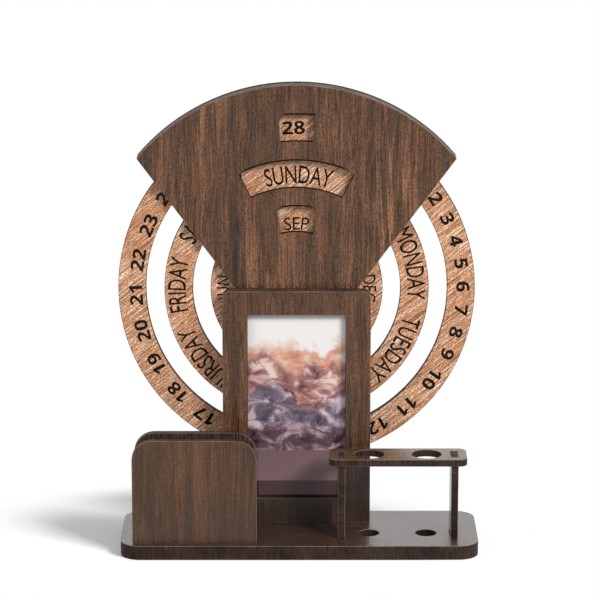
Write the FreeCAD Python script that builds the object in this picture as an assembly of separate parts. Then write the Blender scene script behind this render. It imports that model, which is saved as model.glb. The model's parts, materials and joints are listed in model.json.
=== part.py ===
"""Desk calendar organiser cut from laminated sheet: base, card holder, pen stand, photo frame, calendar.

Millimetres, +Z up. The front faces -Y and +X is to the right when seen from the front.
The origin is the centre of the base's underside.
Upright plates stand on the base's top face and carry tenons that drop into its top layer.
"""
import FreeCAD
import Part
import math
import os

from FreeCAD import Vector

# Sheet and base
SHEET = 3.5
BASE_WIDTH = 175.0
BASE_DEPTH = 56.0
BASE_CORNER_RADIUS = 10.0

# Tenons and their mortises
TENON_CLEARANCE = 0.1
TENON_END_GAP = 0.2
HOLDER_TENON_LENGTH = 12.0
HOLDER_TENON_INSET = 7.0
LEG_TENON_LENGTH = 10.4
STACK_TENON_LENGTH = 12.0
STACK_TENON_INSET = 6.2

# Card and phone holder: two plates with a slot between them
HOLDER_END_MARGIN = 6.1
HOLDER_FRONT_WIDTH = 60.6
HOLDER_BACK_WIDTH = 59.4
HOLDER_HEIGHT = 51.9
HOLDER_CORNER_RADIUS = 10.0
HOLDER_SETBACK = 4.4
HOLDER_SLOT = 10.8

# Pen stand: a shelf with two holes on two legs, over two tip holes in the base
STAND_END_MARGIN = 5.6
PEN_ROW_SETBACK = 20.7
PEN_SHELF_WIDTH = 67.4
PEN_SHELF_DEPTH = 19.5
PEN_SHELF_HEIGHT = 40.5
PEN_SHELF_CORNER_RADIUS = 4.0
PEN_HOLE_PITCH = 28.1
PEN_HOLE_RADIUS = 7.3
PEN_TIP_RADIUS = 5.2
LEG_SETBACK = 1.0
LEG_INSET = 4.3

# Photo frame, in front of the calendar's column
CALENDAR_X = -1.4
BACK_MARGIN = 1.4
FRAME_WIDTH = 72.8
FRAME_CORNER_RADIUS = 4.0
FRAME_SIDE_RAIL = 12.1
FRAME_TOP_RAIL = 12.0
FRAME_BOTTOM_RAIL = 12.9
PRINT_THICKNESS = 0.5
PRINT_CLEARANCE = 0.15

# Calendar fan and the column that carries it, behind a photo frame that rises just past the rings' centre
RING_BASE_GAP = 29.8
FRAME_RISE = 1.1
FAN_RIM = 14.2
FAN_HALF_ANGLE = 49.8
COLUMN_INSET = 7.1

# Turning rings, all about one centre
DATE_RING_RADIUS = 87.7
DATE_RING_WIDTH = 13.7
DATE_TO_DAY_GAP = 9.0
DAY_RING_WIDTH = 14.0
DAY_TO_MONTH_GAP = 8.7
RING_FACE_CLEARANCE = 0.35
RING_EDGE_CLEARANCE = 0.5
DOWEL_RADIUS = 3.0
DOWEL_CLEARANCE = 0.05
DOWEL_END_GAP = 0.3

# Windows in the fascia, which laps over each ring's edges
WINDOW_LAP = 0.3
DATE_WINDOW_WIDTH = 17.0
DATE_WINDOW_TAPER = 0.8
DAY_WINDOW_HALF_ANGLE = 25.8
MONTH_WINDOW_HEIGHT = 12.7
MONTH_WINDOW_WIDTH = 18.7
MONTH_WINDOW_TAPER = 2.6

# Levels and planes that follow from the sizes above
BASE_TOP = 2 * SHEET
FRONT = -BASE_DEPTH / 2
TENON_DEPTH = SHEET - TENON_END_GAP
CHANNEL = SHEET + 2 * RING_FACE_CLEARANCE
REAR_PANEL_Y = BASE_DEPTH / 2 - BACK_MARGIN - SHEET
CHANNEL_Y = REAR_PANEL_Y - CHANNEL
FASCIA_Y = CHANNEL_Y - SHEET
BACK_BOARD_Y = FASCIA_Y - SHEET
FRAME_Y = BACK_BOARD_Y - SHEET
RING_Y = CHANNEL_Y + RING_FACE_CLEARANCE

# Rings from the outside in, and what their sizes set: the centre's height, the frame's top and the fan
DATE_RING_BORE = DATE_RING_RADIUS - DATE_RING_WIDTH
DAY_RING_RADIUS = DATE_RING_BORE - DATE_TO_DAY_GAP
DAY_RING_BORE = DAY_RING_RADIUS - DAY_RING_WIDTH
MONTH_DISC_RADIUS = DAY_RING_BORE - DAY_TO_MONTH_GAP
RING_CENTRE_HEIGHT = DATE_RING_RADIUS + RING_BASE_GAP
RING_Z = BASE_TOP + RING_CENTRE_HEIGHT
FRAME_HEIGHT = RING_CENTRE_HEIGHT + FRAME_RISE
FAN_RADIUS = DATE_RING_RADIUS + FAN_RIM
COLUMN_WIDTH = FRAME_WIDTH - 2 * COLUMN_INSET
STACK_TENON_PITCH = COLUMN_WIDTH - 2 * STACK_TENON_INSET - STACK_TENON_LENGTH

# Card holder at the left end of the base and pen stand at the right end
HOLDER_X = -BASE_WIDTH / 2 + HOLDER_END_MARGIN + HOLDER_FRONT_WIDTH / 2
HOLDER_FRONT_Y = FRONT + HOLDER_SETBACK
HOLDER_BACK_Y = HOLDER_FRONT_Y + SHEET + HOLDER_SLOT
HOLDER_TENON_PITCH = HOLDER_BACK_WIDTH - 2 * HOLDER_TENON_INSET - HOLDER_TENON_LENGTH
STAND_X = BASE_WIDTH / 2 - STAND_END_MARGIN - PEN_SHELF_WIDTH / 2
PEN_ROW_Y = FRONT + PEN_ROW_SETBACK
SHELF_TOP = BASE_TOP + PEN_SHELF_HEIGHT
SHELF_BOTTOM = SHELF_TOP - SHEET
LEG_OFFSET = PEN_SHELF_WIDTH / 2 - LEG_INSET - SHEET / 2
LEG_DEPTH = PEN_SHELF_DEPTH - 2 * LEG_SETBACK
PAST = 1.0  # how far a cutter runs past the face that it opens


def block(x0, x1, y0, y1, z0, z1):
    """A box between two corners."""
    return Part.makeBox(x1 - x0, y1 - y0, z1 - z0, Vector(x0, y0, z0))


def rounded(solid, axis, radius, above=-math.inf):
    """Round the straight edges that run along an axis and lie above a height."""
    edges = []
    for edge in solid.Edges:
        start, end = edge.Vertexes[0].Point, edge.Vertexes[-1].Point
        along = abs((end - start).normalize().dot(axis))
        if along > 0.999 and min(start.z, end.z) > above:
            edges.append(edge)
    return solid.makeFillet(radius, edges)


def disc(radius, y, thickness, x=CALENDAR_X, z=RING_Z):
    """A disc that faces -Y, on the calendar's axis unless told otherwise."""
    return Part.makeCylinder(radius, thickness, Vector(x, y, z), Vector(0, 1, 0))


def ring(outer, inner, y, thickness):
    """A flat ring on the calendar's axis."""
    return disc(outer, y, thickness).cut(disc(inner, y - PAST, thickness + 2 * PAST))


def swept_y(outline, y, thickness):
    """Extrude a closed outline in +Y, given as edges of start, middle and end from the calendar's centre.

    An edge with a middle is an arc through it, and one without is straight.
    """
    def at(pair):
        return Vector(CALENDAR_X + pair[0], y, RING_Z + pair[1])

    edges = []
    for start, middle, end in outline:
        if middle is None:
            edges.append(Part.LineSegment(at(start), at(end)).toShape())
        else:
            edges.append(Part.Arc(at(start), at(middle), at(end)).toShape())
    return Part.Face(Part.Wire(edges)).extrude(Vector(0, thickness, 0))


def tenons(centre_x, pitch, length, y, thickness):
    """Two tenons under an upright plate."""
    pair = []
    for side in (-1, 1):
        x = centre_x + side * pitch / 2
        bottom = BASE_TOP - TENON_DEPTH
        pair.append(block(x - length / 2, x + length / 2, y, y + thickness, bottom, BASE_TOP))
    return pair


def mortise(x, y0, y1, length, bottom, top):
    """The cutter for a tenon of a length along X, or along Y where y0 and y1 span it."""
    gap = TENON_CLEARANCE
    reach = length / 2 + gap
    return block(x - reach, x + reach, y0 - gap, y1 + gap, bottom - PAST, top + PAST)


def joined(solids):
    """Fuse solids into one without seams."""
    return solids[0].multiFuse(solids[1:]).removeSplitter()


# ---- base ----

def base_layer(bottom):
    """One layer of the base, with rounded corners."""
    plate = block(-BASE_WIDTH / 2, BASE_WIDTH / 2, FRONT, BASE_DEPTH / 2, bottom, bottom + SHEET)
    return rounded(plate, Vector(0, 0, 1), BASE_CORNER_RADIUS)


def pen_xs():
    """The two pen positions along X."""
    return [STAND_X - PEN_HOLE_PITCH / 2, STAND_X + PEN_HOLE_PITCH / 2]


def leg_xs():
    """The middle of each pen stand leg along X."""
    return [STAND_X - LEG_OFFSET, STAND_X + LEG_OFFSET]


def base_top_layer():
    """The upper layer, with the pen tip holes and every mortise through it."""
    cutters = [Part.makeCylinder(PEN_TIP_RADIUS, SHEET + 2 * PAST, Vector(x, PEN_ROW_Y, SHEET - PAST))
               for x in pen_xs()]
    for side in (-1, 1):
        holder_x = HOLDER_X + side * HOLDER_TENON_PITCH / 2
        for y in (HOLDER_FRONT_Y, HOLDER_BACK_Y):
            cutters.append(mortise(holder_x, y, y + SHEET, HOLDER_TENON_LENGTH, SHEET, BASE_TOP))
        stack_x = CALENDAR_X + side * STACK_TENON_PITCH / 2
        stack_end = REAR_PANEL_Y + SHEET
        cutters.append(mortise(stack_x, FRAME_Y, stack_end, STACK_TENON_LENGTH, SHEET, BASE_TOP))
    half = LEG_TENON_LENGTH / 2
    for x in leg_xs():
        cutters.append(mortise(x, PEN_ROW_Y - half, PEN_ROW_Y + half, SHEET, SHEET, BASE_TOP))
    return base_layer(SHEET).cut(cutters)


# ---- card holder ----

def holder_plate(width, y):
    """One upright of the card holder, with rounded top corners and two tenons."""
    left, right = HOLDER_X - width / 2, HOLDER_X + width / 2
    plate = block(left, right, y, y + SHEET, BASE_TOP, BASE_TOP + HOLDER_HEIGHT)
    top_edges = BASE_TOP + HOLDER_HEIGHT / 2
    plate = rounded(plate, Vector(0, 1, 0), HOLDER_CORNER_RADIUS, top_edges)
    return joined([plate] + tenons(HOLDER_X, HOLDER_TENON_PITCH, HOLDER_TENON_LENGTH, y, SHEET))


# ---- pen stand ----

def pen_shelf():
    """The shelf, with two pen holes and a mortise over each leg."""
    half_width, half_depth = PEN_SHELF_WIDTH / 2, PEN_SHELF_DEPTH / 2
    left, right = STAND_X - half_width, STAND_X + half_width
    front, back = PEN_ROW_Y - half_depth, PEN_ROW_Y + half_depth
    shelf = block(left, right, front, back, SHELF_BOTTOM, SHELF_TOP)
    shelf = rounded(shelf, Vector(0, 0, 1), PEN_SHELF_CORNER_RADIUS)
    depth, start = SHEET + 2 * PAST, SHELF_BOTTOM - PAST
    cutters = [Part.makeCylinder(PEN_HOLE_RADIUS, depth, Vector(x, PEN_ROW_Y, start))
               for x in pen_xs()]
    half = LEG_TENON_LENGTH / 2
    for x in leg_xs():
        cutters.append(mortise(x, PEN_ROW_Y - half, PEN_ROW_Y + half, SHEET, SHELF_BOTTOM, SHELF_TOP))
    return shelf.cut(cutters)


def pen_leg(x):
    """One leg, with a tenon down into the base and one up through the shelf."""
    x0, x1 = x - SHEET / 2, x + SHEET / 2
    half_leg, half_tenon = LEG_DEPTH / 2, LEG_TENON_LENGTH / 2
    leg = block(x0, x1, PEN_ROW_Y - half_leg, PEN_ROW_Y + half_leg, BASE_TOP, SHELF_BOTTOM)
    tenon = block(x0, x1, PEN_ROW_Y - half_tenon, PEN_ROW_Y + half_tenon,
                  BASE_TOP - TENON_DEPTH, SHELF_BOTTOM + TENON_DEPTH)
    return joined([leg, tenon])


# ---- photo frame ----

def frame_plate(y):
    """One layer of the photo frame, with rounded top corners and two tenons."""
    half = FRAME_WIDTH / 2
    top = BASE_TOP + FRAME_HEIGHT
    plate = block(CALENDAR_X - half, CALENDAR_X + half, y, y + SHEET, BASE_TOP, top)
    plate = rounded(plate, Vector(0, 1, 0), FRAME_CORNER_RADIUS, BASE_TOP + FRAME_HEIGHT / 2)
    return joined([plate] + tenons(CALENDAR_X, STACK_TENON_PITCH, STACK_TENON_LENGTH, y, SHEET))


def frame_window(y, thickness, inset=0.0):
    """The block that fills the frame's window, or sits inside it by an inset."""
    half = FRAME_WIDTH / 2 - FRAME_SIDE_RAIL - inset
    bottom = BASE_TOP + FRAME_BOTTOM_RAIL + inset
    top = BASE_TOP + FRAME_HEIGHT - FRAME_TOP_RAIL - inset
    return block(CALENDAR_X - half, CALENDAR_X + half, y, y + thickness, bottom, top)


def photo_frame_front():
    """The front layer, open at the window."""
    return frame_plate(FRAME_Y).cut(frame_window(FRAME_Y - PAST, SHEET + 2 * PAST))


def photo_print():
    """The laminated print that lies on the back board inside the window."""
    return frame_window(BACK_BOARD_Y - PRINT_THICKNESS, PRINT_THICKNESS, PRINT_CLEARANCE)


# ---- calendar ----

def calendar_outline(y, thickness):
    """The fan on its column: an arc about the rings' centre, straight sides, a column down to the base."""
    angle = math.radians(FAN_HALF_ANGLE)
    tip = (FAN_RADIUS * math.sin(angle), FAN_RADIUS * math.cos(angle))
    half, foot = COLUMN_WIDTH / 2, -RING_CENTRE_HEIGHT
    corners = [tip, (half, 0.0), (half, foot), (-half, foot), (-half, 0.0), (-tip[0], tip[1])]
    sides = [(start, None, end) for start, end in zip(corners, corners[1:])]
    return swept_y(sides + [(corners[-1], (0.0, FAN_RADIUS), tip)], y, thickness)


def stack_tenons(y, thickness):
    """The calendar's tenons, which share the photo frame's mortises."""
    return tenons(CALENDAR_X, STACK_TENON_PITCH, STACK_TENON_LENGTH, y, thickness)


def window(outer, inner, outer_width, inner_width):
    """The cutter for a window that follows a ring, between two radii with straight ends."""
    top = (outer_width / 2, math.sqrt(outer ** 2 - (outer_width / 2) ** 2))
    bottom = (inner_width / 2, math.sqrt(inner ** 2 - (inner_width / 2) ** 2))
    left_top, left_bottom = (-top[0], top[1]), (-bottom[0], bottom[1])
    outline = [(left_top, (0.0, outer), top), (top, None, bottom),
               (bottom, (0.0, inner), left_bottom), (left_bottom, None, left_top)]
    return swept_y(outline, FASCIA_Y - PAST, SHEET + 2 * PAST)


def fan_fascia():
    """The front cheek, with one window over each ring."""
    date_outer, date_inner = DATE_RING_RADIUS - WINDOW_LAP, DATE_RING_BORE + WINDOW_LAP
    day_outer, day_inner = DAY_RING_RADIUS - WINDOW_LAP, DAY_RING_BORE + WINDOW_LAP
    month_outer = MONTH_DISC_RADIUS - WINDOW_LAP
    reach = 2 * math.sin(math.radians(DAY_WINDOW_HALF_ANGLE))
    cutters = [window(date_outer, date_inner, DATE_WINDOW_WIDTH, DATE_WINDOW_WIDTH - DATE_WINDOW_TAPER),
               window(day_outer, day_inner, reach * day_outer, reach * day_inner),
               window(month_outer, month_outer - MONTH_WINDOW_HEIGHT, MONTH_WINDOW_WIDTH,
                      MONTH_WINDOW_WIDTH - MONTH_WINDOW_TAPER)]
    cheek = joined([calendar_outline(FASCIA_Y, SHEET)] + stack_tenons(FASCIA_Y, SHEET))
    return cheek.cut(cutters)


def fan_rear_panel():
    """The rear cheek, which holds the month disc's dowel."""
    cheek = joined([calendar_outline(REAR_PANEL_Y, SHEET)] + stack_tenons(REAR_PANEL_Y, SHEET))
    return cheek.cut(disc(DOWEL_RADIUS, REAR_PANEL_Y - PAST, SHEET + 2 * PAST))


def channel_spacers(outer, inner):
    """The calendar's outline between two radii: the arch above and the piece in the column below."""
    outline = calendar_outline(CHANNEL_Y, CHANNEL)
    band = outline.common(ring(outer, inner, CHANNEL_Y, CHANNEL))
    arch, column = sorted(band.Solids, key=lambda solid: -solid.CenterOfMass.z)
    return arch, column


def outer_spacers():
    """The spacers outside the date ring: the arch, and the foot block with its tenons."""
    whole = math.hypot(RING_CENTRE_HEIGHT, COLUMN_WIDTH) + FAN_RADIUS
    arch, foot = channel_spacers(whole, DATE_RING_RADIUS + RING_EDGE_CLEARANCE)
    return arch, joined([foot] + stack_tenons(CHANNEL_Y, CHANNEL))


def month_disc():
    """The solid inner disc, which turns on the dowel."""
    bore = disc(DOWEL_RADIUS + DOWEL_CLEARANCE, RING_Y - PAST, SHEET + 2 * PAST)
    return disc(MONTH_DISC_RADIUS, RING_Y, SHEET).cut(bore)


def month_disc_dowel():
    """The dowel, glued into the rear panel and ending just behind the fascia."""
    front = CHANNEL_Y + DOWEL_END_GAP
    return disc(DOWEL_RADIUS, front, REAR_PANEL_Y + SHEET - front)


def build():
    """Make every sub-part, by node name."""
    outer_arch, foot = outer_spacers()
    gap = RING_EDGE_CLEARANCE
    middle_arch, middle_column = channel_spacers(DATE_RING_BORE - gap, DAY_RING_RADIUS + gap)
    inner_arch, inner_column = channel_spacers(DAY_RING_BORE - gap, MONTH_DISC_RADIUS + gap)
    left_leg, right_leg = leg_xs()
    return {
        "base_bottom_layer": base_layer(0.0),
        "base_top_layer": base_top_layer(),
        "card_holder_front_plate": holder_plate(HOLDER_FRONT_WIDTH, HOLDER_FRONT_Y),
        "card_holder_back_plate": holder_plate(HOLDER_BACK_WIDTH, HOLDER_BACK_Y),
        "pen_shelf": pen_shelf(),
        "pen_stand_left_leg": pen_leg(left_leg),
        "pen_stand_right_leg": pen_leg(right_leg),
        "photo_frame_front": photo_frame_front(),
        "photo_frame_back_board": frame_plate(BACK_BOARD_Y),
        "photo_print": photo_print(),
        "fan_fascia": fan_fascia(),
        "fan_rear_panel": fan_rear_panel(),
        "outer_arch_spacer": outer_arch,
        "middle_arch_spacer": middle_arch,
        "inner_arch_spacer": inner_arch,
        "column_foot_spacer": foot,
        "middle_column_spacer": middle_column,
        "inner_column_spacer": inner_column,
        "date_ring": ring(DATE_RING_RADIUS, DATE_RING_BORE, RING_Y, SHEET),
        "day_ring": ring(DAY_RING_RADIUS, DAY_RING_BORE, RING_Y, SHEET),
        "month_disc": month_disc(),
        "month_disc_dowel": month_disc_dowel(),
    }


os.makedirs("parts", exist_ok=True)
for node, shape in build().items():
    if len(shape.Solids) != 1:
        raise ValueError(f"{node} has {len(shape.Solids)} solids")
    shape.Solids[0].exportStep(f"parts/{node}.step")
    box = shape.BoundBox
    print(f"{node}: {shape.Volume:.0f} mm3, X {box.XMin:.1f}..{box.XMax:.1f}, "
          f"Y {box.YMin:.1f}..{box.YMax:.1f}, Z {box.ZMin:.1f}..{box.ZMax:.1f}")
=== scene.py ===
"""Looks of a desk calendar organiser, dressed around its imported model.

Every board keeps the shape of its CAD node: its mesh is copied, its cut edges are eased, and its faces are sorted
into a broad face, a charred edge and an eased rim. The turning rings also get their figures and names, engraved as
pockets. All lengths are metres in the frame's own axes: +Z up, the front faces -Y, +X is to the right.
"""

import json
import logging
import math
from dataclasses import dataclass, field
from enum import Enum
from typing import Any, Callable, Iterator, Optional, Sequence

import bmesh
import bpy
from mathutils import Matrix, Vector

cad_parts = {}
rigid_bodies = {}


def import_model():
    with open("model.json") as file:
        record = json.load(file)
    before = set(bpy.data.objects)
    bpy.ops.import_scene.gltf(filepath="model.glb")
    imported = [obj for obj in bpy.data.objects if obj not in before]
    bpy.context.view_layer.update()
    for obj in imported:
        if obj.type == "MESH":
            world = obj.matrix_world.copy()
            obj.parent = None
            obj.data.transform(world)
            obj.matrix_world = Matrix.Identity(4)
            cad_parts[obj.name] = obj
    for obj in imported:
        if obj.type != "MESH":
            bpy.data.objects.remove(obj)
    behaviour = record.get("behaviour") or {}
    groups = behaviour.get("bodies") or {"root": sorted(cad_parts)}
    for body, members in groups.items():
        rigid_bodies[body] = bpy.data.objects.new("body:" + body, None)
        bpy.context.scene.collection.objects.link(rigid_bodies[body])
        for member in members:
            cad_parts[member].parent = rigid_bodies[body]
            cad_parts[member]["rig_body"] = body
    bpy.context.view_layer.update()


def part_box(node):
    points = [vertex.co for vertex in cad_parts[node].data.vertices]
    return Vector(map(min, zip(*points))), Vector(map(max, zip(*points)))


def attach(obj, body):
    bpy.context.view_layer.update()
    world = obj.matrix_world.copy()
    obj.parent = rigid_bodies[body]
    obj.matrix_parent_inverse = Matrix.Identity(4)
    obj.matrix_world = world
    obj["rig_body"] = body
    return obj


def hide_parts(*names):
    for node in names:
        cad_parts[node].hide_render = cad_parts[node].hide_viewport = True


MM = 0.001
FLAT_ANGLE = math.radians(0.3)  # faces that meet flatter than this are one
SHARP_ANGLE = math.radians(40)  # edges that fold more than this are eased
SHADE_ANGLE = math.radians(30)  # shading breaks where faces meet at more than this
FACE_LEAN = 0.999  # above it a face looks the way the board does
EDGE_LEAN = 0.02  # below it a face is square to the board
LAMP_AIM = (0.0, 0.0, 0.1)
LOG = logging.getLogger("organiser")

Colour = tuple[float, float, float, float]
Stops = Sequence[tuple[float, "str | float"]]


# ---- shader helpers ----

def linear(code: str) -> Colour:
    """Turn an sRGB hex colour into the linear colour that shaders take.

    Args:
        code: a colour such as "#674c3e".

    Returns:
        Linear red, green and blue, with an alpha of 1.
    """
    parts = [int(code[i:i + 2], 16) / 255 for i in (1, 3, 5)]
    light = [p / 12.92 if p <= 0.04045 else ((p + 0.055) / 1.055) ** 2.4 for p in parts]
    return (light[0], light[1], light[2], 1.0)


def add(tree: bpy.types.NodeTree, kind: str, inputs: Optional[dict[Any, Any]] = None,
        **settings: Any) -> bpy.types.Node:
    """Add a shader node with its settings, and fill or link its inputs.

    Args:
        tree: the material's or world's node tree.
        kind: the node's type name without its ShaderNode prefix.
        inputs: a value, or another node's output socket, for each input name or index.
        settings: attributes of the node, such as operation.

    Returns:
        The new node.
    """
    node = tree.nodes.new("ShaderNode" + kind)
    for name, value in settings.items():
        setattr(node, name, value)
    for key, value in (inputs or {}).items():
        if isinstance(value, bpy.types.NodeSocket):
            tree.links.new(value, node.inputs[key])
        else:
            node.inputs[key].default_value = value
    return node


def ramp(tree: bpy.types.NodeTree, factor: bpy.types.NodeSocket, stops: Stops) -> bpy.types.NodeSocket:
    """Add a colour ramp.

    Args:
        tree: the node tree.
        factor: what drives the ramp.
        stops: positions from 0 to 1, each with a hex colour or a grey level.

    Returns:
        The ramp's colour output.
    """
    node = add(tree, "ValToRGB", {"Fac": factor})
    elements = node.color_ramp.elements
    while len(elements) < len(stops):
        elements.new(0.5)
    for element, (position, colour) in zip(elements, stops):
        element.position = position
        element.color = linear(colour) if isinstance(colour, str) else (colour, colour, colour, 1.0)
    return node.outputs["Color"]


def blend(tree: bpy.types.NodeTree, factor: Any, under: Any, over: Any,
          mode: str = "MIX") -> bpy.types.NodeSocket:
    """Lay one colour over another.

    Args:
        tree: the node tree.
        factor: how much of the upper colour is taken.
        under: the lower colour, as a socket or a linear colour.
        over: the upper colour, as a socket or a linear colour.
        mode: Blender's blend type.

    Returns:
        The mixed colour's output.
    """
    return add(tree, "Mix", {0: factor, 6: under, 7: over}, data_type="RGBA", blend_type=mode).outputs[2]


def figure(tree: bpy.types.NodeTree, place: bpy.types.NodeSocket, size: float, stretch: Sequence[float],
           **settings: float) -> bpy.types.NodeSocket:
    """Add a noise pattern whose spots have a real size.

    Args:
        tree: the node tree.
        place: the coordinates.
        size: the width of a spot, in metres.
        stretch: how many times longer a spot is along X, Y and Z.
        settings: the noise's Detail, Roughness or Distortion.

    Returns:
        The pattern, from 0 to 1 about 0.5.
    """
    scale = [1 / (size * times) for times in stretch]
    spots = add(tree, "Mapping", {"Vector": place, "Scale": scale}).outputs["Vector"]
    return add(tree, "TexNoise", {"Vector": spots, "Scale": 1.0, **settings}).outputs["Fac"]


def finish_material(name: str, dress: Callable[[bpy.types.NodeTree, bpy.types.NodeSocket],
                                               bpy.types.NodeSocket]) -> bpy.types.Material:
    """Make a material from a function that builds its shader.

    Args:
        name: the finish's name.
        dress: takes the node tree and the Object coordinates, and returns the shader's output.

    Returns:
        The material.
    """
    material = bpy.data.materials.new(name)
    material.use_nodes = True
    tree = material.node_tree
    tree.nodes.clear()
    shader = dress(tree, add(tree, "TexCoord").outputs["Object"])
    add(tree, "OutputMaterial", {"Surface": shader})
    return material


class Facing(Enum):
    """Which way a board's broad faces look."""

    FRONT = (0.0, 1.0, 0.0)
    UP = (0.0, 0.0, 1.0)
    SIDE = (1.0, 0.0, 0.0)

    def along_grain(self, times: float) -> tuple[float, float, float]:
        """Stretch a pattern along the printed grain, which is upright except on a lying board."""
        return (times, 1.0, 1.0) if self is Facing.UP else (1.0, 1.0, times)

    def across_edge(self, times: float) -> list[float]:
        """Stretch a pattern across the thickness of the cut edge."""
        return [times if part else 1.0 for part in self.value]


# ---- finishes ----

@dataclass(frozen=True)
class WalnutLaminate:
    """Melamine-faced MDF with a printed walnut grain, pressed against a fine-textured steel plate.

    The print gives straight bands of warm and grey brown, narrow streaks and short pores. The pressed skin gives a
    soft gloss that is weak seen straight on and strong at a grazing angle, which greys the lying boards. A painted
    shade can darken the foot of an upright board towards a grey brown, standing in for the shade that falls there.
    """

    shift: tuple[float, float, float] = (0.0, 0.0, 0.0)
    lively: float = 0.6  # how far the bands leave the middle tone
    dark: str = "#392c22"
    middle: str = "#593b26"
    light: str = "#7e5234"
    crisp: float = 1.0  # how strongly the streaks and pores show
    band_width: float = 4.6 * MM
    patch_width: float = 34 * MM
    streak_width: float = 0.55 * MM
    streak_run: float = 45.0  # times longer than wide
    pore_width: float = 0.34 * MM  # real pores are nearer 0.1 mm, too fine to show
    press_width: float = 0.9 * MM
    press_depth: float = 0.3 * MM  # of the clear skin's texture, deeper than real to spread the gloss
    painted_shade_top: float = 0.0  # how high the painted shade reaches, full below a third of it; 0 for none
    painted_shade_share: float = 0.65
    painted_shade_tone: str = "#2b2725"
    roughness: float = 0.22
    ior: float = 1.26

    def material(self, facing: Facing) -> bpy.types.Material:
        """Build the laminate for one board, with its own place on the printed sheet."""
        def dress(tree: bpy.types.NodeTree, place: bpy.types.NodeSocket) -> bpy.types.NodeSocket:
            """Build the shader."""
            sheet = add(tree, "Mapping", {"Vector": place, "Location": self.shift}).outputs["Vector"]
            drift = add(tree, "Mapping", {"Vector": sheet, "Scale": [1 / (30 * MM * times) for times in
                                                                     facing.along_grain(1.6)]})
            drift = add(tree, "TexNoise", {"Vector": drift.outputs["Vector"], "Scale": 1.0, "Detail": 1.0})
            bent = add(tree, "VectorMath", {0: drift.outputs["Color"], 1: (4 * MM, 4 * MM, 4 * MM), 2: sheet},
                       operation="MULTIPLY_ADD").outputs["Vector"]
            bands = figure(tree, bent, self.band_width, facing.along_grain(24), Detail=2.0, Roughness=0.6)
            patches = figure(tree, bent, self.patch_width, facing.along_grain(4), Detail=1.0)
            streaks = figure(tree, bent, self.streak_width, facing.along_grain(self.streak_run), Detail=2.0)
            pores = figure(tree, sheet, self.pore_width, facing.along_grain(3), Detail=1.0)
            tone = ramp(tree, bands, [(0.4, self.dark), (0.47, self.middle), (0.53, self.middle),
                                      (0.6, self.light)])
            vivid = add(tree, "MapRange", {"Value": patches, "From Min": 0.4, "From Max": 0.55,
                                           "To Min": self.lively / 3, "To Max": self.lively}).outputs["Result"]
            tone = blend(tree, vivid, linear(self.middle), tone)
            streaks = ramp(tree, streaks, [(0.3, 0.3), (0.5, 1.0), (0.7, 1.6)])
            tone = blend(tree, self.crisp, tone, streaks, "MULTIPLY")
            pores = ramp(tree, pores, [(0.25, 0.25), (0.5, 1.0), (0.75, 1.8)])
            tone = blend(tree, self.crisp, tone, pores, "MULTIPLY")
            # painted shade: the board darkens towards its foot, standing in for the shade that falls low between the
            # parts
            if self.painted_shade_top:
                height = add(tree, "SeparateXYZ", {"Vector": place}).outputs["Z"]
                painted_shade_fade = add(tree, "MapRange", {"Value": height, "From Min": self.painted_shade_top,
                                               "From Max": self.painted_shade_top / 3, "To Max": self.painted_shade_share})
                tone = blend(tree, painted_shade_fade.outputs["Result"], tone, linear(self.painted_shade_tone))
            press = figure(tree, place, self.press_width, (1, 1, 1), Detail=2.0)
            skin = add(tree, "Bump", {"Height": press, "Strength": 1.0, "Distance": self.press_depth})
            bump = add(tree, "Bump", {"Height": press, "Strength": 0.4, "Distance": 0.06 * MM})
            return add(tree, "BsdfPrincipled", {
                "Base Color": tone, "Roughness": self.roughness, "IOR": self.ior, "Coat Weight": 1.0,
                "Coat IOR": self.ior, "Coat Roughness": 0.18, "Normal": bump.outputs["Normal"],
                "Coat Normal": skin.outputs["Normal"]}).outputs["BSDF"]
        return finish_material("walnut_laminate", dress)


@dataclass(frozen=True)
class CharredEdge:
    """The laser-cut edge of MDF, charred near black and matt, with faint beam lines across the thickness."""

    name: str = "charred_edge"
    dark: str = "#271d19"
    light: str = "#45362f"
    roughness: float = 0.55
    ior: float = 1.2
    beam_width: float = 0.6 * MM  # real beam lines are nearer 0.2 mm apart

    def material(self, facing: Facing) -> bpy.types.Material:
        """Build the charred edge of the boards that face one way."""
        def dress(tree: bpy.types.NodeTree, place: bpy.types.NodeSocket) -> bpy.types.NodeSocket:
            """Build the shader."""
            beam = figure(tree, place, self.beam_width, facing.across_edge(8), Detail=1.0)
            cloud = figure(tree, place, 14 * MM, (1, 1, 1), Detail=2.0)
            mixed = add(tree, "Math", {0: beam, 1: cloud}, operation="MULTIPLY").outputs["Value"]
            colour = ramp(tree, mixed, [(0.14, self.dark), (0.38, self.light)])
            bump = add(tree, "Bump", {"Height": beam, "Strength": 0.2, "Distance": 0.1 * MM})
            return add(tree, "BsdfPrincipled", {"Base Color": colour, "Roughness": self.roughness, "IOR": self.ior,
                                                "Normal": bump.outputs["Normal"]}).outputs["BSDF"]
        return finish_material(self.name, dress)


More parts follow.
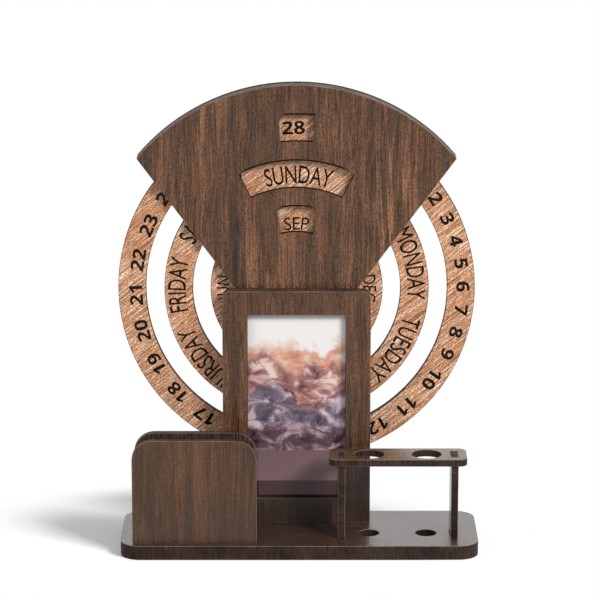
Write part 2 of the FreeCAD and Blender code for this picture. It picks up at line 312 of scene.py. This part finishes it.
@dataclass(frozen=True)
class LightVeneer:
    """Satin light veneer on thin board, laid with its grain rising to the right.

    Early and late wood give narrow pale and tan stripes, and the sliced fibres a finer and steeper ripple. Short
    dark and pale marks across the grain add a grit.
    """

    slope: float = 38.0
    ripple_slope: float = 52.0
    stripe_width: float = 0.8 * MM
    ripple_width: float = 0.4 * MM
    grit_width: float = 0.4 * MM  # real pores are finer than can show
    dark: str = "#8c5b3c"
    middle: str = "#cc9670"
    light: str = "#ecceb5"
    warm: str = "#b5744b"
    roughness: float = 0.45

    def material(self) -> bpy.types.Material:
        """Build the veneer."""
        def turned(tree: bpy.types.NodeTree, place: bpy.types.NodeSocket, slope: float) -> bpy.types.NodeSocket:
            """Turn the coordinates so that X runs along a grain that rises to the right."""
            return add(tree, "Mapping", {"Vector": place, "Rotation": (0.0, math.radians(slope), 0.0)}
                       ).outputs["Vector"]

        def dress(tree: bpy.types.NodeTree, place: bpy.types.NodeSocket) -> bpy.types.NodeSocket:
            """Build the shader."""
            grain = turned(tree, place, self.slope)
            stripes = figure(tree, grain, self.stripe_width, (26, 1, 1), Detail=2.0, Roughness=0.6)
            ripple = figure(tree, turned(tree, place, self.ripple_slope), self.ripple_width, (9, 1, 1), Detail=1.5)
            cloud = figure(tree, grain, 12 * MM, (3, 1, 1), Detail=1.0)
            tone = ramp(tree, stripes, [(0.36, self.dark), (0.48, self.middle), (0.53, self.middle),
                                        (0.62, self.light)])
            redder = add(tree, "MapRange", {"Value": cloud, "From Min": 0.42, "From Max": 0.66,
                                            "To Max": 0.4}).outputs["Result"]
            tone = blend(tree, redder, tone, linear(self.warm))
            tone = blend(tree, 1.0, tone, ramp(tree, ripple, [(0.3, 0.6), (0.5, 1.0), (0.7, 1.4)]), "MULTIPLY")
            grit = figure(tree, turned(tree, place, self.slope - 90), self.grit_width, (1.8, 1, 1), Detail=1.0)
            tone = blend(tree, 1.0, tone, ramp(tree, grit, [(0.25, 0.1), (0.5, 1.0), (0.75, 2.0)]), "MULTIPLY")
            bump = add(tree, "Bump", {"Height": ripple, "Strength": 0.15, "Distance": 0.08 * MM})
            return add(tree, "BsdfPrincipled", {"Base Color": tone, "Roughness": self.roughness, "IOR": 1.45,
                                                "Normal": bump.outputs["Normal"]}).outputs["BSDF"]
        return finish_material("light_veneer", dress)


@dataclass(frozen=True)
class BeechDowel:
    """Bare turned beech, pale with short brown flecks along the dowel."""

    def material(self) -> bpy.types.Material:
        """Build the beech."""
        def dress(tree: bpy.types.NodeTree, place: bpy.types.NodeSocket) -> bpy.types.NodeSocket:
            """Build the shader."""
            flecks = figure(tree, place, 0.5 * MM, (1, 6, 1), Detail=2.0)
            colour = ramp(tree, flecks, [(0.34, "#9c7550"), (0.46, "#c9a074"), (0.66, "#dfbf95")])
            bump = add(tree, "Bump", {"Height": flecks, "Strength": 0.1, "Distance": 0.05 * MM})
            return add(tree, "BsdfPrincipled", {"Base Color": colour, "Roughness": 0.6, "IOR": 1.45,
                                                "Normal": bump.outputs["Normal"]}).outputs["BSDF"]
        return finish_material("turned_beech", dress)


@dataclass(frozen=True)
class Ridge:
    """One washed ridge of the printed landscape: its height on the print, its swell and its colours."""

    level: float
    swell: float
    seed: float
    bleed: float
    stops: Stops


@dataclass(frozen=True)
class GlossPrint:
    """A paper print laminated in clear gloss film: a washed landscape over a plain band with a maroon foot.

    The film gives sharp, weak reflections of whatever is bright in front of it. The maroon foot of the band is partly
    print and partly painted shade.
    """

    low: Vector
    band_height: float = 23.8 * MM
    sky: str = "#f4f1ee"
    plum: str = "#8a696c"
    plum_top: str = "#735659"
    maroon: str = "#4a2a2b"
    foot_share: float = 0.66
    ridges: tuple[Ridge, ...] = (
        Ridge(78 * MM, 6 * MM, 3.1, 3.4 * MM, [(0.36, "#c9785f"), (0.5, "#e2a98f"), (0.62, "#ecd9cf")]),
        Ridge(68 * MM, 7 * MM, 8.4, 2.6 * MM, [(0.36, "#5d343a"), (0.5, "#a87270"), (0.64, "#efd3c6")]),
        Ridge(52 * MM, 6 * MM, 14.2, 2.0 * MM, [(0.36, "#382f3a"), (0.5, "#7c6a7a"), (0.64, "#dcc5cb")]),
        Ridge(36 * MM, 4 * MM, 21.7, 1.6 * MM, [(0.36, "#2a1b21"), (0.5, "#5f424c"), (0.66, "#bb9aa6")]),
    )

    def wash(self, tree: bpy.types.NodeTree, x: bpy.types.NodeSocket, z: bpy.types.NodeSocket, under: Any,
             ridge: Ridge) -> bpy.types.NodeSocket:
        """Lay one washed ridge over what is behind it.

        Args:
            tree: the node tree.
            x: the place across the print, in metres.
            z: the place up the print, in metres.
            under: the colour behind the ridge.
            ridge: the ridge.

        Returns:
            The colour with the ridge over it.
        """
        along = add(tree, "Math", {0: x, 1: 40.0, 2: ridge.seed}, operation="MULTIPLY_ADD").outputs["Value"]
        line = add(tree, "TexNoise", {"W": along, "Scale": 1.0, "Detail": 3.0}, noise_dimensions="1D")
        middle = self.low.z + ridge.level
        crest = add(tree, "MapRange", {"Value": line.outputs["Fac"], "From Min": 0.3, "From Max": 0.7,
                                       "To Min": middle - ridge.swell, "To Max": middle + ridge.swell})
        below = add(tree, "Math", {0: crest.outputs["Result"], 1: z}, operation="SUBTRACT").outputs["Value"]
        spot = add(tree, "CombineXYZ", {"X": x, "Y": ridge.seed, "Z": z}).outputs["Vector"]
        paint = figure(tree, spot, 7 * MM, (1.4, 1, 1), Detail=5.0, Roughness=0.62, Distortion=0.7)
        ragged = add(tree, "Math", {0: paint, 1: ridge.bleed * 7, 2: below}, operation="MULTIPLY_ADD")
        mask = add(tree, "MapRange", {"Value": ragged.outputs["Value"], "From Min": ridge.bleed * 2.6,
                                      "From Max": ridge.bleed * 4.4}, interpolation_type="SMOOTHSTEP")
        return blend(tree, mask.outputs["Result"], under, ramp(tree, paint, ridge.stops))

    def material(self) -> bpy.types.Material:
        """Build the print."""
        def dress(tree: bpy.types.NodeTree, place: bpy.types.NodeSocket) -> bpy.types.NodeSocket:
            """Build the shader."""
            spot = add(tree, "SeparateXYZ", {"Vector": place})
            x, z = spot.outputs["X"], spot.outputs["Z"]
            colour: Any = linear(self.sky)
            for ridge in self.ridges:
                colour = self.wash(tree, x, z, colour, ridge)
            top = self.low.z + self.band_height
            # the maroon foot, with its sharp top, is partly print and partly painted shade
            in_foot = add(tree, "Math", {0: z, 1: top - self.band_height * self.foot_share},
                          operation="LESS_THAN").outputs["Value"]
            fade = add(tree, "MapRange", {"Value": z, "From Min": self.low.z, "From Max": top}).outputs["Result"]
            band = blend(tree, in_foot, ramp(tree, fade, [(0.3, self.plum), (1.0, self.plum_top)]),
                         linear(self.maroon))
            in_band = add(tree, "Math", {0: z, 1: top}, operation="LESS_THAN").outputs["Value"]
            colour = blend(tree, in_band, colour, band)
            return add(tree, "BsdfPrincipled", {"Base Color": colour, "Roughness": 0.04, "IOR": 1.38}).outputs["BSDF"]
        return finish_material("gloss_print", dress)


# ---- mesh helpers ----

class Slot(Enum):
    """The material slots of a cut board, in order."""

    FACE = 0
    EDGE = 1
    RIM = 2
    POCKET = 3


def merged_copy(node: str) -> bmesh.types.BMesh:
    """Copy a CAD node's mesh, weld its loose triangles and dissolve the ones that lie flat together.

    Args:
        node: the CAD node's name.

    Returns:
        A clean closed mesh of the same shape.
    """
    mesh = bmesh.new()
    mesh.from_mesh(bpy.data.objects[node].data)
    bmesh.ops.remove_doubles(mesh, verts=mesh.verts, dist=0.001 * MM)
    bmesh.ops.dissolve_limit(mesh, angle_limit=FLAT_ANGLE, verts=mesh.verts, edges=mesh.edges)
    return mesh


def ease_edges(mesh: bmesh.types.BMesh, reach: float, segments: int = 2, clamp: bool = True,
               where: Callable[[bmesh.types.BMEdge], bool] = lambda edge: True) -> None:
    """Bevel every sharp edge.

    Args:
        mesh: the mesh to change.
        reach: how far the bevel reaches from the edge.
        segments: how many strips it has.
        clamp: whether the bevel is narrowed where short edges leave it less room.
        where: tells of an edge whether it is bevelled.
    """
    sharp = [edge for edge in mesh.edges
             if edge.is_manifold and edge.calc_face_angle(0.0) > SHARP_ANGLE and where(edge)]
    bmesh.ops.bevel(mesh, geom=sharp, offset=reach, offset_type="OFFSET", segments=segments, profile=0.5,
                    affect="EDGES", clamp_overlap=clamp, material=-1)


def sort_faces(mesh: bmesh.types.BMesh, facing: Facing) -> None:
    """Give each face its material slot: broad face, cut edge or eased rim, with shading that breaks between them.

    Args:
        mesh: the board.
        facing: which way its broad faces look.
    """
    normal = Vector(facing.value)
    for face in mesh.faces:
        lean = abs(face.normal.dot(normal))
        slot = Slot.FACE if lean > FACE_LEAN else Slot.EDGE if lean < EDGE_LEAN else Slot.RIM
        face.material_index = slot.value
    mark_creases(mesh)


def mark_creases(mesh: bmesh.types.BMesh) -> None:
    """Shade a mesh smooth, but break the shading between two slots and at every corner."""
    for face in mesh.faces:
        face.smooth = True
    for edge in mesh.edges:
        slots = {face.material_index for face in edge.link_faces}
        edge.smooth = len(slots) == 1 and edge.calc_face_angle(0.0) < SHADE_ANGLE


def new_object(name: str, mesh: bmesh.types.BMesh) -> bpy.types.Object:
    """Put a mesh into the scene as an object, and free the bmesh.

    Args:
        name: the object's name.
        mesh: the mesh, already in its place.

    Returns:
        The object, at the origin.
    """
    data = bpy.data.meshes.new(name)
    mesh.to_mesh(data)
    mesh.free()
    thing = bpy.data.objects.new(name, data)
    bpy.context.scene.collection.objects.link(thing)
    return thing


def place_piece(name: str, mesh: bmesh.types.BMesh, finishes: Sequence[bpy.types.Material], node: str) -> bpy.types.Object:
    """Turn a finished mesh into a piece that stands for a CAD node and rides on its body.

    Args:
        name: the piece's name.
        mesh: the finished mesh, which is freed.
        finishes: its materials, in slot order.
        node: the CAD node that it replaces.

    Returns:
        The piece.
    """
    piece = new_object(name, mesh)
    for finish in finishes:
        piece.data.materials.append(finish)
    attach(piece, bpy.data.objects[node]["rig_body"])
    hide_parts(node)
    return piece


def carve(mesh: bmesh.types.BMesh, cutter: bmesh.types.BMesh) -> bmesh.types.BMesh:
    """Cut a cutter's shape out of a mesh, and give the cut its own slot.

    Args:
        mesh: the body, which is freed.
        cutter: closed solids, which are freed.

    Returns:
        The carved mesh. It isn't always closed: a few edges along the letters can be left open or doubled.
    """
    for face in cutter.faces:
        face.material_index = Slot.POCKET.value
    body, tool = new_object("body", mesh), new_object("cutter", cutter)
    for thing in (body, tool):
        for _ in Slot:
            thing.data.materials.append(None)
    cut = body.modifiers.new("carve", "BOOLEAN")
    cut.operation = "DIFFERENCE"
    cut.solver = "EXACT"
    cut.object = tool
    cut.material_mode = "INDEX"
    cut.use_self = True
    carved = bmesh.new()
    carved.from_mesh(body.evaluated_get(bpy.context.evaluated_depsgraph_get()).to_mesh())
    for thing in (body, tool):
        bpy.data.objects.remove(thing)
    bmesh.ops.triangulate(carved, faces=[face for face in carved.faces if len(face.verts) > 4])
    mark_creases(carved)
    return carved


# ---- boards ----

@dataclass
class Boards:
    """The laser-cut laminated boards, which share one way of finishing."""

    ease: float = 0.2 * MM
    edges: dict[Facing, bpy.types.Material] = field(init=False)
    rims: dict[Facing, bpy.types.Material] = field(init=False)
    paler_edge: bpy.types.Material = field(init=False)
    scorched_and_shaded: bpy.types.Material = field(init=False)

    def __post_init__(self) -> None:
        """Make the cut finishes that every board shares."""
        # the eased rim's pale tone is partly the laminate's paper and partly a painted highlight along the boards'
        # edges
        rim = CharredEdge("eased_rim", "#5f4b3f", "#8f786a", 0.4, 1.3)
        self.edges = {facing: CharredEdge().material(facing) for facing in Facing}
        self.rims = {facing: rim.material(facing) for facing in Facing}
        # a charred edge paler than the other boards', for the fascia and the fan's outer arch
        self.paler_edge = CharredEdge("sanded_edge", "#362a24", "#5a4a42", 0.5, 1.24).material(Facing.FRONT)
        # near black: partly the laser's burn, partly painted shade, for the windows and the boards behind the fascia
        self.scorched_and_shaded = CharredEdge("scorched_edge", "#0f0b09", "#211814", 0.7, 1.15).material(Facing.FRONT)

    def dress(self, node: str, facing: Facing, laminate: WalnutLaminate) -> bpy.types.Object:
        """Dress one board.

        Args:
            node: the CAD node.
            facing: which way its broad faces look.
            laminate: its place on the printed sheet and its tones.

        Returns:
            The dressed board.
        """
        mesh = merged_copy(node)
        ease_edges(mesh, self.ease)
        sort_faces(mesh, facing)
        finishes = [laminate.material(facing), self.edges[facing], self.rims[facing]]
        return place_piece(node + "_board", mesh, finishes, node)

    def dress_hidden(self, node: str, laminate: WalnutLaminate) -> bpy.types.Object:
        """Dress an upright board of the stack behind the fascia, whose edge is near black all over: charred, and
        darker still by painted shade in the gap behind the fascia.
        """
        board = self.dress(node, Facing.FRONT, laminate)
        board.data.materials[Slot.EDGE.value] = self.scorched_and_shaded
        board.data.materials[Slot.RIM.value] = self.scorched_and_shaded
        return board


@dataclass
class Base:
    """Two lying layers glued together."""

    boards: Boards
    # painted shade: the base's tones are darker than the other boards', for the shade on its top
    laminate: WalnutLaminate = WalnutLaminate((0.31, 0.12, 0.05), 0.4, "#2c1e17", "#402c21", "#563b2b",
                                              press_depth=0.8 * MM, ior=1.4)
    seam_reach: float = 0.5 * MM

    def build(self) -> Iterator[bpy.types.Object]:
        """Dress both layers, and leave the rims that meet at the seam as dark as the edge."""
        _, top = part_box("base_bottom_layer")
        for node in ("base_bottom_layer", "base_top_layer"):
            layer = self.boards.dress(node, Facing.UP, self.laminate)
            for face in layer.data.polygons:
                if face.material_index == Slot.RIM.value and abs(face.center.z - top.z) < self.seam_reach:
                    face.material_index = Slot.EDGE.value
            yield layer


@dataclass
class CardHolder:
    """Two upright plates with a slot between them."""

    boards: Boards
    # the front plate is darkened towards its foot by painted shade, up to 36 mm
    front: WalnutLaminate = WalnutLaminate((0.42, 0.0, 0.13), 0.45, "#392e25", "#563a26", "#734e38", 0.55,
                                           painted_shade_top=36 * MM, painted_shade_share=0.3)
    # painted shade: the back plate gets darker, greyer tones than the front, for the shade it sits in behind the
    # front plate
    back: WalnutLaminate = WalnutLaminate((0.77, 0.0, 0.13), 0.3, "#2f241d", "#44352c", "#5c493d")

    def build(self) -> Iterator[bpy.types.Object]:
        """Dress both plates."""
        yield self.boards.dress("card_holder_front_plate", Facing.FRONT, self.front)
        yield self.boards.dress("card_holder_back_plate", Facing.FRONT, self.back)


@dataclass
class PenStand:
    """A shelf with two holes, tenoned onto two legs."""

    boards: Boards

    def build(self) -> Iterator[bpy.types.Object]:
        """Dress the shelf and the legs."""
        yield self.boards.dress("pen_shelf", Facing.UP, WalnutLaminate((0.53, 0.4, 0.0)))
        for node, shift in (("pen_stand_left_leg", 0.19), ("pen_stand_right_leg", 0.64)):
            yield self.boards.dress(node, Facing.SIDE, WalnutLaminate((0.0, shift, 0.0), ior=1.06))


@dataclass
class PhotoFrame:
    """A windowed front on a back board, with a print between them."""

    boards: Boards
    print_ease: float = 0.1 * MM
    # the frame's boards are darkened by painted shade up to this height
    painted_shade_top: float = 48 * MM

    def build(self) -> Iterator[bpy.types.Object]:
        """Dress the two boards and the print."""
        for node, shift in (("photo_frame_front", 0.05), ("photo_frame_back_board", 0.91)):
            laminate = WalnutLaminate((shift, 0.0, 0.3), 0.5, "#372a20", "#573b27", "#765039", 0.9,
                                      painted_shade_top=self.painted_shade_top)
            yield self.boards.dress(node, Facing.FRONT, laminate)
        mesh = merged_copy("photo_print")
        ease_edges(mesh, self.print_ease, segments=1)
        low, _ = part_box("photo_print")
        yield place_piece("laminated_print", mesh, [GlossPrint(low).material()], "photo_print")


@dataclass
class CalendarStack:
    """The windowed fascia, the rear panel and the spacers between them."""

    boards: Boards
    laminate: WalnutLaminate = WalnutLaminate((0.02, 0.0, 0.0), 1.0, "#33291f", "#583b27", "#7f573e")
    # reach of the dark chamfer along each window's top, which is partly burn and partly painted shadow
    scorch_and_shade_reach: float = 0.9 * MM
    window_reach: float = 26 * MM
    window_low: float = 25 * MM
    window_high: float = 92 * MM

    def fascia(self) -> bpy.types.Object:
        """Dress the fascia, whose windows stay sharp but for a chamfer along the top, all near black: partly the
        laser's burn, partly painted shade.
        """
        low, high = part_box("date_ring")
        pivot = (low + high) / 2

        def at_window(place: Vector) -> bool:
            """Tell whether a place is at a window's edge, not at the board's outline."""
            off = place - pivot
            return abs(off.x) < self.window_reach and self.window_low < off.z < self.window_high

        def is_outline(edge: bmesh.types.BMEdge) -> bool:
            """Tell whether an edge belongs to the board's outline."""
            return not at_window(edge.verts[0].co)

        def is_window_top(edge: bmesh.types.BMEdge) -> bool:
            """Tell whether an edge is the front edge of a wall that closes a window from above."""
            walls = [face for face in edge.link_faces if face.normal.z < -0.5]
            return bool(walls) and at_window(edge.verts[0].co) and max(vert.co.y for vert in edge.verts) < front

        mesh = merged_copy("fan_fascia")
        front = min(vert.co.y for vert in mesh.verts) + self.boards.ease
        ease_edges(mesh, self.boards.ease, where=is_outline)
        ease_edges(mesh, self.scorch_and_shade_reach, segments=1, clamp=False, where=is_window_top)
        sort_faces(mesh, Facing.FRONT)
        # the windows' cut faces go near black: partly the laser's burn and partly painted shade under the fascia's
        # edges
        for face in mesh.faces:
            if face.material_index != Slot.FACE.value and at_window(face.calc_center_median()):
                face.material_index = Slot.POCKET.value
        mark_creases(mesh)
        finishes = [self.laminate.material(Facing.FRONT), self.boards.paler_edge, self.boards.rims[Facing.FRONT],
                    self.boards.scorched_and_shaded]
        return place_piece("fan_fascia_board", mesh, finishes, "fan_fascia")

    def build(self) -> Iterator[bpy.types.Object]:
        """Dress the cheeks and the spacers, with the fan's outer arch given the fascia's paler edge."""
        yield self.fascia()
        arch = self.boards.dress("outer_arch_spacer", Facing.FRONT, WalnutLaminate((0.6, 0.3, 0.0)))
        arch.data.materials[Slot.EDGE.value] = self.boards.paler_edge
        yield arch
        yield self.boards.dress_hidden("fan_rear_panel", WalnutLaminate((0.25, 0.0, 0.2)))
        for part in ("middle_arch", "inner_arch", "column_foot", "middle_column", "inner_column"):
            yield self.boards.dress_hidden(part + "_spacer", WalnutLaminate((0.6, 0.3, 0.0)))


# ---- rings ----

@dataclass(frozen=True)
class Lettering:
    """Plain sans lettering, engraved around a ring with its tops outward."""

    height: float
    narrow: float  # the letters' width, against the font's own
    radius: float  # from the ring's centre to the letters' middle
    depth: float = 0.35 * MM
    font_height: float = 0.682  # of a capital, at a text size of 1
    weight: float = 0.0  # how far each outline is moved outward, at a text size of 1
    spread: float = 1.0  # of the letters, against the font's own spacing

    def solid(self, text: str) -> bmesh.types.BMesh:
        """Make one word as a closed solid, centred on the origin and facing the front.

        Args:
            text: the word.

        Returns:
            The solid, twice the pocket's depth thick.
        """
        curve = bpy.data.curves.new(text, "FONT")
        curve.body = text
        curve.offset = self.weight
        curve.space_character = self.spread
        curve.extrude = 0.5
        curve.resolution_u = 4
        holder = bpy.data.objects.new(text, curve)
        mesh = bmesh.new()
        mesh.from_mesh(bpy.data.meshes.new_from_object(holder))
        bmesh.ops.remove_doubles(mesh, verts=mesh.verts, dist=0.00001)
        places = [vert.co.x for vert in mesh.verts]
        middle = Vector(((min(places) + max(places)) / 2, self.font_height / 2, 0.0))
        bmesh.ops.translate(mesh, verts=mesh.verts, vec=-middle)
        grow = self.height / self.font_height
        bmesh.ops.scale(mesh, verts=mesh.verts, vec=(grow * self.narrow, grow, 2 * self.depth))
        bmesh.ops.rotate(mesh, verts=mesh.verts, matrix=Matrix.Rotation(math.radians(90), 3, "X"))
        return mesh

    def straight(self, text: str, angle: float) -> bmesh.types.BMesh:
        """Place a word in one piece.

        Args:
            text: the word.
            angle: its place on the ring in degrees, clockwise from the top.

        Returns:
            The word about the ring's centre.
        """
        mesh = self.solid(text)
        self.swing(mesh, mesh.verts, angle)
        return mesh

    def arched(self, text: str, angle: float) -> bmesh.types.BMesh:
        """Place a word along the ring, each letter unbent and turned to its own angle.

        Args:
            text: the word, of capitals that are each one body.
            angle: its middle on the ring in degrees, clockwise from the top.

        Returns:
            The word about the ring's centre.
        """
        mesh = self.solid(text)
        for letter in islands(mesh):
            places = [vert.co.x for vert in letter]
            middle = (min(places) + max(places)) / 2
            bmesh.ops.translate(mesh, verts=letter, vec=(-middle, 0.0, 0.0))
            self.swing(mesh, letter, angle + math.degrees(middle / self.radius))
        return mesh

    def swing(self, mesh: bmesh.types.BMesh, verts: Sequence[bmesh.types.BMVert], angle: float) -> None:
        """Lift vertices to the lettering's radius and turn them clockwise about the ring's centre."""
        bmesh.ops.translate(mesh, verts=verts, vec=(0.0, 0.0, self.radius))
        bmesh.ops.rotate(mesh, verts=verts, matrix=Matrix.Rotation(math.radians(angle), 3, "Y"))


def islands(mesh: bmesh.types.BMesh) -> list[list[bmesh.types.BMVert]]:
    """Split a mesh into its separate bodies.

    Args:
        mesh: the mesh.

    Returns:
        The vertices of each body.
    """
    left = set(mesh.verts)
    bodies = []
    while left:
        queue = [left.pop()]
        body = list(queue)
        while queue:
            near = {edge.other_vert(vert) for vert in (queue.pop(),) for edge in vert.link_edges} & left
            left -= near
            queue.extend(near)
            body.extend(near)
        bodies.append(body)
    return bodies


@dataclass
class TurningRings:
    """The date ring, the day ring and the month disc, engraved on the front, and the dowel they turn about."""

    ease: float = 0.25 * MM
    first_date: int = 28
    first_date_angle: float = -2.1
    dates_aside: float = 1.4 * MM
    date_count: int = 31
    single_share: float = 0.65  # the room of a one-figure date against a two-figure one
    month_names: str = "SEP OCT NOV DEC JAN FEB MAR APR MAY JUN JUL AUG"
    dates: Lettering = Lettering(6.3 * MM, 1.15, 80.4 * MM, font_height=0.714, weight=0.008)
    days: Lettering = Lettering(8.7 * MM, 0.66, 58.9 * MM, weight=0.006)
    months: Lettering = Lettering(6.3 * MM, 0.76, 36.0 * MM, weight=0.004, spread=1.06)
    first_day: Lettering = Lettering(8.7 * MM, 0.66, 57.2 * MM, weight=0.006)
    first_month: Lettering = Lettering(6.3 * MM, 0.92, 32.8 * MM, weight=0.004)
    day_angles: tuple[tuple[str, float], ...] = (
        ("SUNDAY", 1.0), ("MONDAY", 77.6), ("TUESDAY", 122.5), ("WEDNESDAY", 173.0), ("THURSDAY", 228.0),
        ("FRIDAY", 271.8), ("SATURDAY", 314.4))
    finishes: list[bpy.types.Material] = field(init=False)

    def __post_init__(self) -> None:
        """Make the finishes that the three share."""
        edge = CharredEdge("charred_veneer_edge", "#17110e", "#2e221c").material(Facing.FRONT)
        rim = CharredEdge("eased_veneer_rim", "#261a15", "#453227", roughness=0.45).material(Facing.FRONT)
        pocket = CharredEdge("engraved_pocket", "#0c0908", "#1f1814", roughness=0.5).material(Facing.FRONT)
        self.finishes = [LightVeneer().material(), edge, rim, pocket]

    def date_words(self) -> Iterator[bmesh.types.BMesh]:
        """Make the dates, each with room for its own number of figures."""
        # The bold sans digits sit apart from the plain ones in the character table.
        bold_zero = 0x1D7EC
        shares = [self.single_share if date < 10 else 1.0 for date in range(1, self.date_count + 1)]
        turn = 360 / sum(shares)
        first = self.first_date - 1
        angle = self.first_date_angle
        for step in range(self.date_count):
            date = (first + step) % self.date_count
            after = (date + 1) % self.date_count
            text = "".join(chr(bold_zero + int(digit)) for digit in str(date + 1))
            yield self.dates.straight(text, angle)
            angle += turn * (shares[date] + shares[after]) / 2

    def day_words(self) -> Iterator[bmesh.types.BMesh]:
        """Make the day names, the first set a little lower than the rest."""
        for place, (name, angle) in enumerate(self.day_angles):
            days = self.days if place else self.first_day
            yield days.arched(name, angle)

    def month_words(self) -> Iterator[bmesh.types.BMesh]:
        """Make the month names, evenly spaced, the first set a little lower than the rest."""
        names = self.month_names.split()
        for place, name in enumerate(names):
            months = self.months if place else self.first_month
            yield months.arched(name, place * 360 / len(names))

    def engrave(self, node: str, words: Iterator[bmesh.types.BMesh], aside: float = 0.0) -> bpy.types.Object:
        """Dress one ring and engrave its words.

        Args:
            node: the CAD node.
            words: solids about the origin that face the front.
            aside: how far the words' circle sits to the right of the ring's centre.

        Returns:
            The dressed ring.
        """
        low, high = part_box(node)
        mesh = merged_copy(node)
        ease_edges(mesh, self.ease, segments=1)
        sort_faces(mesh, Facing.FRONT)
        cutter = bmesh.new()
        for word in words:
            data = bpy.data.meshes.new("word")
            word.to_mesh(data)
            word.free()
            cutter.from_mesh(data)
        centre = Vector(((low.x + high.x) / 2 + aside, low.y, (low.z + high.z) / 2))
        bmesh.ops.translate(cutter, verts=cutter.verts, vec=centre)
        return place_piece("engraved_" + node, carve(mesh, cutter), self.finishes, node)

    def build(self) -> Iterator[bpy.types.Object]:
        """Dress the rings, the disc and the dowel."""
        yield self.engrave("date_ring", self.date_words(), self.dates_aside)
        yield self.engrave("day_ring", self.day_words())
        yield self.engrave("month_disc", self.month_words())
        mesh = merged_copy("month_disc_dowel")
        ease_edges(mesh, self.ease)
        yield place_piece("turned_dowel", mesh, [BeechDowel().material()], "month_disc_dowel")


# ---- studio ----

@dataclass(frozen=True)
class Lamp:
    """A square soft box that looks at the object."""

    name: str
    place: tuple[float, float, float]
    size: float
    power: float


@dataclass
class Studio:
    """A pale floor, a white surround, two soft lamps and the camera."""

    floor_radius: float = 7.0
    floor_gap: float = 0.2 * MM
    pool_place: tuple[float, float, float] = (-0.045, 0.0, 0.0)
    pool_reach: tuple[float, float, float] = (0.145, 0.1, 1.0)
    world_level: float = 0.28
    floor_tone: float = 0.4
    seen_floor_tone: float = 1.15
    lamps: tuple[Lamp, ...] = (
        Lamp("key", (1.15, -1.1, 1.2), 0.6, 34.0),
        Lamp("fill", (-1.3, -0.9, 1.1), 0.8, 10.0),
    )
    lens: float = 180.0
    camera_place: tuple[float, float, float] = (0.28 * MM, -1.4145, 0.4763)
    camera_tilt: float = 75.993

    def seen(self, tree: bpy.types.NodeTree) -> bpy.types.NodeSocket:
        """Tell the rays that look at the surround from the rays that carry its light."""
        path = add(tree, "LightPath").outputs
        seen = add(tree, "Math", {0: path["Is Camera Ray"], 1: path["Is Glossy Ray"]}, operation="MAXIMUM")
        return add(tree, "Math", {0: seen.outputs["Value"], 1: path["Is Transmission Ray"]},
                   operation="MAXIMUM").outputs["Value"]

    def floor(self) -> None:
        """Lay the floor, which takes the object's shadow and turns plain white away from it."""
        mesh = bmesh.new()
        bmesh.ops.create_circle(mesh, cap_ends=True, segments=64, radius=self.floor_radius)
        bmesh.ops.translate(mesh, verts=mesh.verts, vec=(0.0, 0.0, -self.floor_gap))
        floor = new_object("floor", mesh)

        def dress(tree: bpy.types.NodeTree, place: bpy.types.NodeSocket) -> bpy.types.NodeSocket:
            """Build the shader."""
            seen = self.seen(tree)
            tone = add(tree, "MapRange", {"Value": seen, "To Min": self.floor_tone, "To Max": self.seen_floor_tone})
            near = add(tree, "BsdfDiffuse", {"Color": tone.outputs["Result"]}).outputs["BSDF"]
            white = add(tree, "Emission", {"Strength": 1.0}).outputs["Emission"]
            shift = [-middle / reach for middle, reach in zip(self.pool_place, self.pool_reach)]
            scale = [1 / reach for reach in self.pool_reach]
            pool = add(tree, "Mapping", {"Vector": place, "Location": shift, "Scale": scale}).outputs["Vector"]
            away = add(tree, "VectorMath", {0: pool}, operation="LENGTH").outputs["Value"]
            far = add(tree, "MapRange", {"Value": away, "From Min": 0.7, "From Max": 1.0},
                      interpolation_type="SMOOTHSTEP")
            turn = add(tree, "Math", {0: far.outputs["Result"], 1: seen}, operation="MULTIPLY").outputs["Value"]
            return add(tree, "MixShader", {0: turn, 1: near, 2: white}).outputs["Shader"]
        floor.data.materials.append(finish_material("floor_paper", dress))

    def world(self) -> None:
        """Surround the scene with white."""
        world = bpy.data.worlds.new("surround")
        world.use_nodes = True
        bpy.context.scene.world = world
        tree = world.node_tree
        tree.nodes.clear()
        level = add(tree, "MapRange", {"Value": self.seen(tree), "To Min": self.world_level, "To Max": 1.0})
        white = add(tree, "Background", {"Color": (1.0, 1.0, 1.0, 1.0), "Strength": level.outputs["Result"]})
        add(tree, "OutputWorld", {"Surface": white.outputs["Background"]})

    def light(self) -> None:
        """Hang the lamps."""
        for lamp in self.lamps:
            data = bpy.data.lights.new(lamp.name, "AREA")
            data.size = lamp.size
            data.energy = lamp.power
            holder = bpy.data.objects.new(lamp.name, data)
            holder.location = lamp.place
            aim = Vector(LAMP_AIM) - holder.location
            holder.rotation_euler = aim.to_track_quat("-Z", "Y").to_euler()
            bpy.context.scene.collection.objects.link(holder)

    def camera(self) -> None:
        """Set the camera level from side to side, a little above the object and looking down."""
        data = bpy.data.cameras.new("camera")
        data.lens = self.lens
        data.sensor_width = 36.0
        data.clip_end = 50.0
        holder = bpy.data.objects.new("camera", data)
        holder.location = self.camera_place
        holder.rotation_euler = (math.radians(self.camera_tilt), 0.0, 0.0)
        bpy.context.scene.collection.objects.link(holder)
        bpy.context.scene.camera = holder

    def build(self) -> None:
        """Build the whole studio."""
        self.floor()
        self.world()
        self.light()
        self.camera()
        bpy.context.scene.view_settings.view_transform = "Standard"


def main() -> None:
    """Build the whole organiser and its studio."""
    logging.basicConfig(level=logging.INFO, format="%(name)s: %(message)s")
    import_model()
    Studio().build()
    boards = Boards()
    assemblies = (Base(boards), CardHolder(boards), PenStand(boards), PhotoFrame(boards), CalendarStack(boards),
                  TurningRings())
    for assembly in assemblies:
        for piece in assembly.build():
            LOG.info("%s: %s, %d faces", type(assembly).__name__, piece.name, len(piece.data.polygons))


if __name__ == "__main__":
    main()
